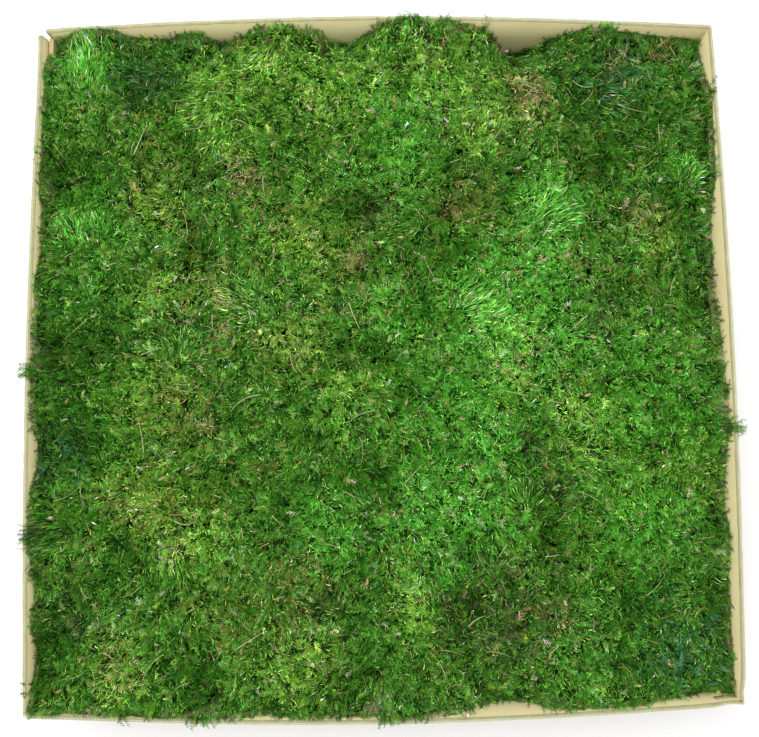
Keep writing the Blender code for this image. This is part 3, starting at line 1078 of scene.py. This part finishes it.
def leaves(x, y, growth, surface, rng):
    """Single pointed leaves, each a bent kite of two triangles."""
    count = len(x)
    fan, way = fan_pull(x, y)
    fan = fan * (rng.random(count) < 0.7)
    long = 1 + 0.7 * np.clip(TUFTS(x, y)[1][:, 4] - 0.9, 0, 1) + FAN_STRETCH * fan
    lean = unit(leans(x, y, growth, rng, 0.75) + 3.0 * fan[:, None] * way)
    length = long * np.clip(rng.normal(*LEAF.length, count), *LEAF.limits) * MM
    depth = (rng.uniform(*LEAF.depth, count) + 1.5 * fan) * MM
    root, tip = shoot_ends(x, y, lean, length, depth, surface, rng)
    tip[:, 2] += 1.2 * MM * fan
    side = across_of(unit(tip - root), 0.7, rng) * (rng.normal(*LEAF.half_width, count) * MM)[:, None]
    middle = root * 0.42 + tip * 0.58 + np.array([0, 0, 0.5 * MM]) + rng.normal(0, 0.35 * MM, (count, 3))
    points = np.stack([root, middle - side, middle + side, tip], 1)
    triangles = np.arange(count)[:, None, None] * 4 + LEAF_TRIANGLES
    # Painted shade: shoots whose tips lie below their root's surface are darker; those in fans are a
    # little lighter.
    below = np.clip((root[:, 2] + depth - tip[:, 2]) / (3 * MM), -0.5, 1.2)
    colours = shaded(colours_of_shoots(x, y, rng), np.exp(0.22 * fan - 0.45 * below))
    shades = shaded(colours[:, None, :], np.broadcast_to(LEAF_SHADES, (count, 4)))
    return points.reshape(-1, 3), triangles.reshape(-1, 3), shades.reshape(-1, 3)


def frond_pattern():
    """The triangles of one frond, its cell on the bake map and the shade along it: painted shade at the
    root, painted light at the tips.
    """
    triangles = [[0, 1, 3], [0, 3, 2], [2, 3, 4]]
    cell = [[0.42, 0], [0.58, 0], [0.42, 0.5], [0.58, 0.5], [0.5, 1]]
    shades = [0.2, 0.2, 0.6, 0.6, 1.4]
    for share in LEAFLETS:
        for hand in (-1, 1):
            start = len(cell)
            triangles.append([start, start + 1, start + 2])
            up = share * 0.85
            cell += [[0.5, up], [0.5, up + 0.1], [0.5 + 0.5 * hand, up + 0.15]]
            shades += [0.25 + 0.60 * share, 0.25 + 0.60 * share, 0.95 + 0.65 * share]
    return np.array(triangles), np.array(cell), np.array(shades)


FROND_TRIANGLES, FROND_CELL, FROND_SHADES = frond_pattern()


def fronds(x, y, growth, surface, rng):
    """Feathery shoots: a tapering stem with pairs of leaflets, each leaflet one triangle."""
    count = len(x)
    lean = leans(x, y, growth, rng, 0.45)
    length = np.clip(rng.normal(*FROND.length, count), *FROND.limits) * MM
    depth = rng.uniform(*FROND.depth, count) * MM
    root, tip = shoot_ends(x, y, lean, length, depth, surface, rng)
    return frond_mesh(root, tip, colours_of_shoots(x, y, rng), rng, FROND_ARCH)


def frond_mesh(root, tip, colours, rng, rise):
    """Feathery shoots between these ends, arched upwards by rise times their length."""
    count = len(root)
    length = np.linalg.norm(tip - root, axis=1)
    way = unit(tip - root)
    across = across_of(way, 0.4, rng)
    arch = rng.normal(rise, 0.08, count)[:, None] * length[:, None] * np.array([0, 0, 1.0])
    sway = across * (rng.normal(0, 0.10, count) * length)[:, None]

    def spine(share):
        return root + (tip - root) * share + (arch + sway) * (4 * share * (1 - share))

    half = across * (0.30 * MM)
    points = [root - half, root + half, spine(0.5) - half * 0.6, spine(0.5) + half * 0.6, tip]
    for share in LEAFLETS:
        centre = spine(share)
        size = length * 0.34 * (1.15 - 0.75 * share) * rng.uniform(0.7, 1.3, count)
        for hand in (-1, 1):
            sweep = rng.uniform(0.35, 1.0, count)[:, None]
            lift = rng.normal(0.10, 0.35, count)[:, None] * np.array([0, 0, 1.0])
            leaf = unit(across * hand * (1.15 - 0.5 * sweep) + way * sweep + lift) * size[:, None]
            base = way * (rng.normal(0.36, 0.07, count) * MM)[:, None]
            points += [centre - base, centre + base, centre + leaf]
    points = np.stack(points, 1)
    triangles = np.arange(count)[:, None, None] * len(FROND_CELL) + FROND_TRIANGLES
    shades = shaded(colours[:, None, :], np.broadcast_to(FROND_SHADES, (count, len(FROND_SHADES))))
    return points.reshape(-1, 3), triangles.reshape(-1, 3), shades.reshape(-1, 3)


def bake_map(felt_points, counts, cells):
    """Places on the bake map: the felt in a strip at the top, and a small cell for each shoot."""
    flat = felt_points[:, :2] - felt_points[:, :2].min(0)
    flat = flat / flat.max(0)
    parts = [np.stack([flat[:, 0], 1 - FELT_MAP_TOP * (1 - flat[:, 1])], 1)]
    total = sum(counts)
    across = math.ceil(math.sqrt(total / (0.99 - FELT_MAP_TOP)))
    index = np.arange(total)
    corner = np.stack([index % across, index // across], 1) / across
    start = 0
    for count, cell in zip(counts, cells):
        at = corner[start : start + count, None, :]
        parts.append((at + (0.10 + 0.80 * cell)[None] / across).reshape(-1, 2))
        start += count
    return np.concatenate(parts)


def grow_mat(number, node, size, surface, materials):
    """One mat of moss: felt body and shoots, as one piece."""
    rng = np.random.default_rng(MOSS_SEED + number)
    growth = MAT_GROWTH[node]
    felt, felt_triangles = felt_of(node, surface)
    felt = pressed_to_walls(felt, size)
    parts = [(felt, felt_triangles, np.full((len(felt), 3), 0.02))]
    counts = []
    for grow, density in ((leaves, LEAVES_PER_M2), (fronds, FRONDS_PER_M2)):
        x, y = surface.places_of(number, density, size, rng)
        points, triangles, colours = grow(x, y, growth, surface, rng)
        parts.append((keep_inside(points, size), triangles, colours))
        counts.append(len(x))
    points, triangles, colours = joined(parts)
    uv = bake_map(felt, counts, (LEAF_CELL, FROND_CELL))
    slots = np.ones(len(triangles), int)
    slots[: len(felt_triangles)] = 0
    obj = mesh_object(node + "_growth", points, triangles, materials, colours, uv, slots)
    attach(obj, "root")
    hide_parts(node)


# --- what lies in the moss


def tube(path, radii, sides, colours):
    """A closed tube along a path, with a radius and a colour at each of its points."""
    tangent = unit(np.gradient(path, axis=0))
    across = unit(np.cross(tangent, (0.0, 0.0, 1.0)) + 1e-6)
    up = np.cross(across, tangent)
    angle = math.tau * np.arange(sides) / sides
    ring = np.cos(angle)[None, :, None] * across[:, None] + np.sin(angle)[None, :, None] * up[:, None]
    points = (path[:, None] + radii[:, None, None] * ring).reshape(-1, 3)
    step = np.arange(len(path) - 1)[:, None] * sides
    side = np.arange(sides)
    following = (side + 1) % sides
    corners = [step + side, step + following, step + sides + following, step + sides + side]
    quads = np.stack([corner.ravel() for corner in corners], 1)
    fan = np.stack([np.zeros(sides - 2, int), side[2:], side[1:-1]], 1)
    end = fan[:, ::-1] + (len(path) - 1) * sides
    triangles = np.concatenate([quads_to_triangles(quads), fan, end])
    return points, triangles, np.repeat(colours, sides, axis=0)


def add_growth(name, parts, material):
    """One piece from many small parts, each with a cell of its own on the bake map."""
    points, triangles, colours = joined(parts)
    across = math.ceil(math.sqrt(len(parts)))
    uv = []
    for number, part in enumerate(parts):
        corner = np.array([number % across, number // across]) / across
        flat = part[0] - part[0].mean(0)
        axis = np.linalg.svd(flat, full_matrices=False)[2][:2]
        flat = flat @ axis.T
        flat = (flat - flat.min(0)) / np.maximum(np.ptp(flat, axis=0), 1e-9)
        uv.append(corner + (0.08 + 0.84 * flat) / across)
    obj = mesh_object(name, points, triangles, (material,), colours, np.concatenate(uv))
    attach(obj, "root")


def turned(x, y, along, off, heading):
    """The place that lies along and off to the left of a heading from x and y."""
    cos, sin = math.cos(heading), math.sin(heading)
    return x + along * cos - off * sin, y + along * sin + off * cos


def picked(tones, rng):
    """One of some tones, a little darker or lighter."""
    return np.array(tones[rng.integers(len(tones))]) * rng.uniform(0.7, 1.2)


def lying_path(kind, size, surface, rng):
    """The path of a stiff stalk that lies on the moss: bent sideways, with one end dipping in."""
    x, y = random_place(size, rng)
    length = rng.uniform(*kind.length) * MM
    lift, dip = rng.uniform(*kind.lift) * MM, rng.uniform(*kind.dip) * MM
    bend, heading = rng.normal(0, kind.bend), rng.uniform(0, math.tau)
    t = np.linspace(0, 1, kind.steps)
    px, py = turned(x, y, (t - 0.5) * length, bend * length * (1 - (2 * t - 1) ** 2), heading)
    under = surface(px[[0, kind.steps // 2, -1]], py[[0, kind.steps // 2, -1]])
    pz = np.polyval(np.polyfit([0, 0.5, 1], under, 2), t) + lift - dip * t**4
    return keep_inside(np.stack([px, py, pz], 1), size)


def random_place(size, rng):
    room_x, room_y = size.half_x - size.board - WALL_MARGIN, size.half_y - size.board - WALL_MARGIN
    return rng.uniform(-room_x, room_x), rng.uniform(-room_y, room_y)


def dry_stalks(size, surface, rng):
    """Straws: some long ones and many short bits."""
    parts = []
    for kind in LONG_STALKS, SHORT_STALKS:
        for _ in range(kind.count):
            path = lying_path(kind, size, surface, rng)
            radius = rng.uniform(*kind.radius) * MM
            radii = radius * np.linspace(1.0, rng.uniform(0.35, 0.8), kind.steps)
            tones = picked(STALK_TONES, rng) * rng.uniform(0.85, 1.1, (kind.steps, 1))
            parts.append(tube(path, radii, kind.sides, tones))
    return parts


def dead_leaves(size, surface, rng):
    """Curled scraps of dead leaf."""
    parts = []
    levels = np.linspace(-1, 1, SCRAP_ROWS), np.linspace(-1, 1, SCRAP_COLUMNS)
    u, v = np.meshgrid(*levels, indexing="ij")
    triangles = quads_to_triangles(grid_quads(SCRAP_ROWS, SCRAP_COLUMNS))
    for _ in range(LEAF_SCRAPS):
        x, y = random_place(size, rng)
        length, share = rng.uniform(*SCRAP_LENGTH) * MM / 2, rng.uniform(0.25, 0.55)
        outline = np.sqrt(np.clip(1.03 - u**2, 0, 1)) * rng.uniform(0.45, 1.25, u.shape)
        across = (v + rng.normal(0, 0.3) * u**2) * outline * share * length
        curl = rng.uniform(0.1, 0.9) * length * (v**2 * outline - 0.6 * u**2)
        px, py = turned(x, y, u * length, across, rng.uniform(0, math.tau))
        tilt = rng.normal(0, 0.35) * u * length
        pz = surface(np.array([x]), np.array([y]))[0] + rng.uniform(-0.5, 1.2) * MM + curl + tilt
        tones = picked(SCRAP_TONES, rng) * rng.uniform(0.8, 1.15, (u.size, 1))
        parts.append((np.stack([px, py, pz], 2).reshape(-1, 3), triangles, tones))
    return parts


def curly_path(start, rng):
    """A thin root's path, which turns as it goes."""
    heading, length = rng.uniform(0, math.tau), rng.uniform(*ROOTS.length) * MM
    turn = heading + np.cumsum(rng.normal(0, ROOTS.wild, ROOTS.steps))
    rise = rng.normal(0, 0.35, ROOTS.steps)
    step = length / ROOTS.steps
    moves = np.stack([np.cos(turn), np.sin(turn), rise], 1) * step
    return start + np.cumsum(moves, 0)


def root_tangles(size, surface, rng):
    """Tangles of thin brown roots at a few places."""
    parts = []
    for x, y, radius, count in TANGLES:
        for _ in range(count):
            away, around = radius * math.sqrt(rng.random()), rng.uniform(0, math.tau)
            px, py = turned(x, y, away, 0.0, around)
            height = surface(np.array([px]), np.array([py]))[0] + rng.uniform(-1.0, 2.0) * MM
            path = keep_inside(curly_path(np.array([px, py, height]), rng), size)
            radii = np.linspace(*ROOTS.radii, ROOTS.steps) * MM * rng.uniform(0.8, 1.3)
            tone = picked(ROOT_TONES, rng)
            parts.append(tube(path, radii, 3, np.tile(tone, (ROOTS.steps, 1))))
    return parts


def dark_twigs(size, surface, rng):
    """Thin dark twigs and old moss stems."""
    parts = []
    for _ in range(TWIGS.count):
        path = lying_path(TWIGS, size, surface, rng)
        radii = np.linspace(*TWIG_RADII, TWIGS.steps) * MM * rng.uniform(0.7, 1.3)
        tone = np.array(TWIG_TONE) * rng.uniform(0.6, 1.8)
        parts.append(tube(path, radii, 4, np.tile(tone, (TWIGS.steps, 1))))
    return parts


def wall_distance(size, out, along):
    """How far the inner edge of a wall's rim lies from the middle of the carton."""
    reach = side_reach if out[1] == 0 else end_reach
    return reach(along, size) - size.board


def shoot_parts(roots, tips, rise, size, rng, light=0.0):
    """Feathery shoots, each as a part of its own."""
    colours = shaded(colours_of_shoots(roots[:, 0], roots[:, 1], rng), np.exp(light))
    points, triangles, shades = frond_mesh(roots, tips, colours, rng, rise)
    points = soft_top(points, size).reshape(len(roots), -1, 3)
    shades = shades.reshape(len(roots), -1, 3)
    return [(own, FROND_TRIANGLES, shade) for own, shade in zip(points, shades)]


def wall_shoots(size, surface, rng):
    """Shoots at the moss's border that stick out of it towards the walls."""
    roots, tips = [], []
    for out in WALLS.values():
        out = np.array(out)
        level = np.abs(out[::-1])
        along = rng.uniform(-WALL_SHOOTS.spread, WALL_SHOOTS.spread, WALL_SHOOTS.count)
        inside = rng.uniform(*WALL_SHOOTS.inside, len(along)) * MM
        start = out * (wall_distance(size, out, along) - inside)[:, None] + level * along[:, None]
        low = surface(*start.T) - WALL_SHOOTS.sunk
        reach = inside * rng.uniform(*WALL_SHOOTS.reach, len(along))
        sway = rng.normal(0, WALL_SHOOTS.sway, len(along))
        stop = start + out * reach[:, None] + level * sway[:, None]
        high = low + rng.uniform(*WALL_SHOOTS.rise, len(along)) * MM
        roots.append(np.column_stack([start, low]))
        tips.append(np.column_stack([stop, high]))
    return shoot_parts(np.concatenate(roots), np.concatenate(tips), WALL_SHOOTS.arch, size, rng)


def shoot_over_rim(out, along, over, spread, size, surface, rng):
    """Root and tip of one shoot that leans on the rim: over it, or up to it if over is not above 0."""
    level = np.abs(out[::-1])
    at = along + rng.normal(0, spread * 0.35) * MM
    far = wall_distance(size, out, at)
    start = out * (far - rng.uniform(2, 7) * MM) + level * at
    reach = far + (over + rng.normal(0, 1.5)) * MM
    stop = out * reach + level * (at + rng.normal(0, 4) * MM)
    low = surface(start[:1], start[1:])[0] - 1.5 * MM
    high = size.height + (rng.uniform(0.2, 2.0) if over > 0 else -rng.uniform(0, 4)) * MM
    return [*start, max(low, size.height - TUFT_ROOT_BELOW)], [*stop, high]


def rim_tufts(size, surface, rng):
    """Shoots that lie over the rim: a thin fringe all round and a few thick tufts."""
    roots, tips, light = [], [], []
    fringe = [
        (wall, rng.uniform(-0.33, 0.33), rng.uniform(-5, 1.5), FRINGE_SHOOTS, FRINGE_SPREAD)
        for wall in WALLS
        for _ in range(FRINGE)
    ]
    for number, (wall, along, over, count, spread) in enumerate([*fringe, *TUFTS_OVER_RIM]):
        out = np.array(WALLS[wall])
        foot = out * (size.half_x - size.board - FRINGE_ROOT) + np.abs(out[::-1]) * along
        sunk = surface(foot[:1], foot[1:])[0] < size.height - FRINGE_BELOW
        if number < len(fringe) and sunk:
            continue
        for _ in range(count):
            root, tip = shoot_over_rim(out, along, over, spread, size, surface, rng)
            roots.append(root)
            tips.append(tip)
            light.append(rng.normal(0, 0.35))
    return shoot_parts(np.array(roots), np.array(tips), TUFT_RISE, size, rng, np.array(light))


def build_debris(size, surface):
    stalk = growth_material("dry_straw", 0.6)
    leaf = growth_material("dead_leaf", 0.8)
    twig = growth_material("dark_twig", 0.8)
    shoot = growth_material("rim_shoots", 0.65)
    makers = (
        ("dry_stalks", dry_stalks, stalk, "dry_straw"),
        ("dead_leaf_scraps", dead_leaves, leaf, "dead_leaf"),
        ("root_tangles", root_tangles, stalk, "dry_straw"),
        ("dark_twigs", dark_twigs, twig, "dark_twig"),
        ("rim_tufts", rim_tufts, shoot, "moss"),
        ("wall_shoots", wall_shoots, shoot, "moss"),
    )
    for seed, (name, maker, material, slot) in enumerate(makers):
        parts = maker(size, surface, np.random.default_rng(DEBRIS_SEED + seed))
        add_growth(name, parts, material)


# --- stage


def build_camera(size):
    data = bpy.data.cameras.new("camera")
    data.sensor_width = SENSOR
    data.lens = SENSOR * FOCAL_PIXELS / IMAGE_WIDTH
    camera = bpy.data.objects.new("camera", data)
    camera.location = (*CAMERA_XY, size.height + CAMERA_ABOVE_RIM)
    camera.rotation_euler = Euler([math.radians(angle) for angle in CAMERA_TURN])
    bpy.context.scene.collection.objects.link(camera)
    bpy.context.scene.camera = camera


def area_light(name, place, size, watts):
    data = bpy.data.lights.new(name, "AREA")
    data.size = size
    data.energy = watts
    light = bpy.data.objects.new(name, data)
    light.location = place
    light.rotation_euler = Vector(place).to_track_quat("Z", "Y").to_euler()
    bpy.context.scene.collection.objects.link(light)


def build_stage():
    """A pale floor, a soft sky and one large soft lamp above."""
    floor_mesh = bpy.data.meshes.new("floor")
    signs = (-1, -1), (1, -1), (1, 1), (-1, 1)
    corners = [(x * FLOOR_REACH, y * FLOOR_REACH, 0) for x, y in signs]
    floor_mesh.from_pydata(corners, [], [(0, 1, 2, 3)])
    floor = bpy.data.objects.new("floor", floor_mesh)
    floor.location.z = -FLOOR_BELOW
    bpy.context.scene.collection.objects.link(floor)
    n = Nodes("pale_floor")
    looks = dict(Emission_Color=WHITE, Emission_Strength=FLOOR_GLOW)
    floor_mesh.materials.append(n.finish(FLOOR_GREY, 0.9, **looks))
    world = bpy.data.worlds.new("soft_sky")
    bpy.context.scene.world = world
    world.use_nodes = True
    sky = world.node_tree.nodes["Background"].inputs
    sky["Color"].default_value = WHITE
    sky["Strength"].default_value = SKY_STRENGTH
    area_light("softbox", SOFTBOX.place, SOFTBOX.size, SOFTBOX.watts)
    bpy.context.scene.view_settings.view_transform = "Standard"


sizes = frame_sizes()
build_camera(sizes)
build_stage()
build_carton(sizes)
moss_materials = (felt_material(), growth_material("moss_shoots", 0.65))
moss_surface = MossSurface(sizes)
for number, mat in enumerate(MAT_GROWTH):
    grow_mat(number, mat, sizes, moss_surface, moss_materials)
build_debris(sizes, moss_surface)
